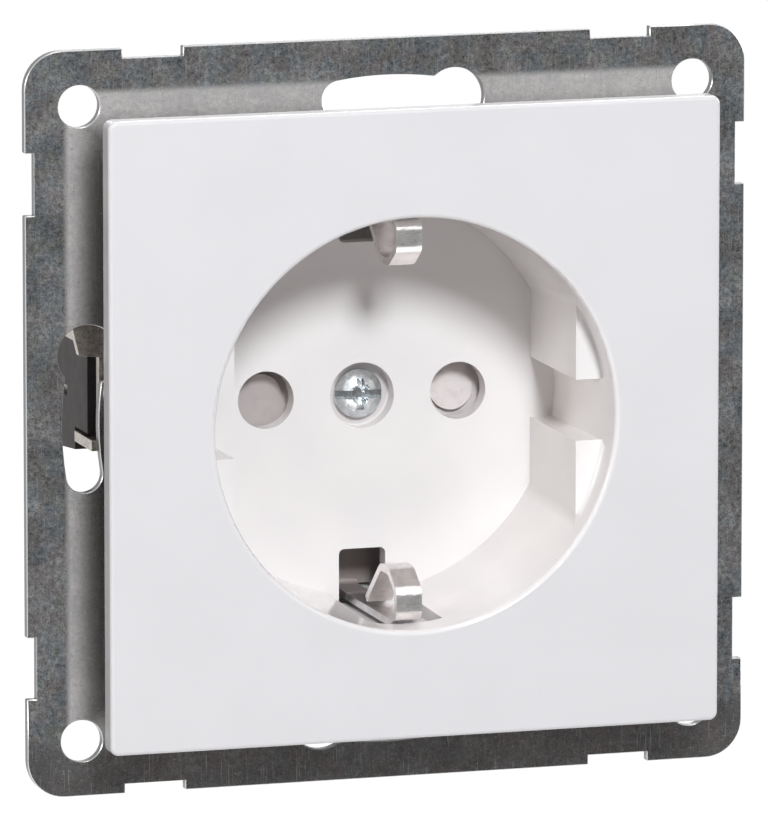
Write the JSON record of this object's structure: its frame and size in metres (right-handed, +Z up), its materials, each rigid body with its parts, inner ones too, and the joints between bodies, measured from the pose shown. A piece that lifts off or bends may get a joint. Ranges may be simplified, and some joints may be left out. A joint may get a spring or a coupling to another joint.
{
  "type": "type f wall socket",
  "caption": "Flush wall socket insert with a round recessed plug well, side earth clips, shuttered pin holes, sheet-steel support frame, insulating base and spreading claws.",
  "frame": {"origin": "middle of the wall plane, the back of the frame's rim, on the axis of the plug well", "axes": "+X right and +Z up as seen from the room, -Y out of the wall towards the room"},
  "size_m": [0.0706, 0.0409, 0.0706],
  "materials": {
    "zinc_sheet": "galvanised sheet, mottled and lightly scratched",
    "white_plastic": "gloss moulded, cool white",
    "shutter_plastic": "satin moulded, warm grey",
    "base_plastic": "satin moulded, light grey",
    "zinc_screw": "bright zinc plate",
    "nickel_strip": "bright nickel plate on spring strip",
    "spring_steel": "drawn spring wire",
    "contact_bronze": "rolled bronze strip",
    "terminal_brass": "machined brass",
    "claw_steel": "dark phosphated steel"
  },
  "bodies": {
    "socket_body": {"support_frame": "zinc_sheet", "centre_plate": "white_plastic", "cover_screw": "zinc_screw", "shutter_spring": "spring_steel", "shutter_retainer": "shutter_plastic", "earth_strap": "nickel_strip", "line_contact": "contact_bronze", "neutral_contact": "contact_bronze", "line_terminal": "terminal_brass", "neutral_terminal": "terminal_brass", "earth_terminal": "terminal_brass", "line_terminal_screw": "zinc_screw", "neutral_terminal_screw": "zinc_screw", "earth_terminal_screw": "zinc_screw", "contact_cover": "base_plastic", "base_housing": "base_plastic", "upper_right_rivet": "zinc_screw", "lower_right_rivet": "zinc_screw", "lower_left_rivet": "zinc_screw", "upper_left_rivet": "zinc_screw", "left_claw_bracket": "zinc_sheet", "right_claw_bracket": "zinc_sheet", "left_claw_screw": "zinc_screw", "right_claw_screw": "zinc_screw"},
    "shutter_rotor": {"shutter": "shutter_plastic"},
    "left_claw_arm": {"left_claw": "claw_steel"},
    "right_claw_arm": {"right_claw": "claw_steel"}
  },
  "joints": [
    {"name": "shutter_turn", "type": "hinge", "parent": "socket_body", "child": "shutter_rotor", "pos_m": [0, 0.0105, 0], "axis": [0, 1, 0], "range_deg": [0, 40], "stiffness_Nm_per_rad": 0.003, "springref_deg": -20.05, "deforming": ["shutter_spring"]},
    {"name": "left_claw_swing", "type": "hinge", "parent": "socket_body", "child": "left_claw_arm", "pos_m": [-0.0276, 0.0032, 0.0029], "axis": [0, 0, 1], "range_deg": [0, 20]},
    {"name": "right_claw_swing", "type": "hinge", "parent": "socket_body", "child": "right_claw_arm", "pos_m": [0.0276, 0.0032, -0.0029], "axis": [0, 0, -1], "range_deg": [0, 20]}
  ]
}
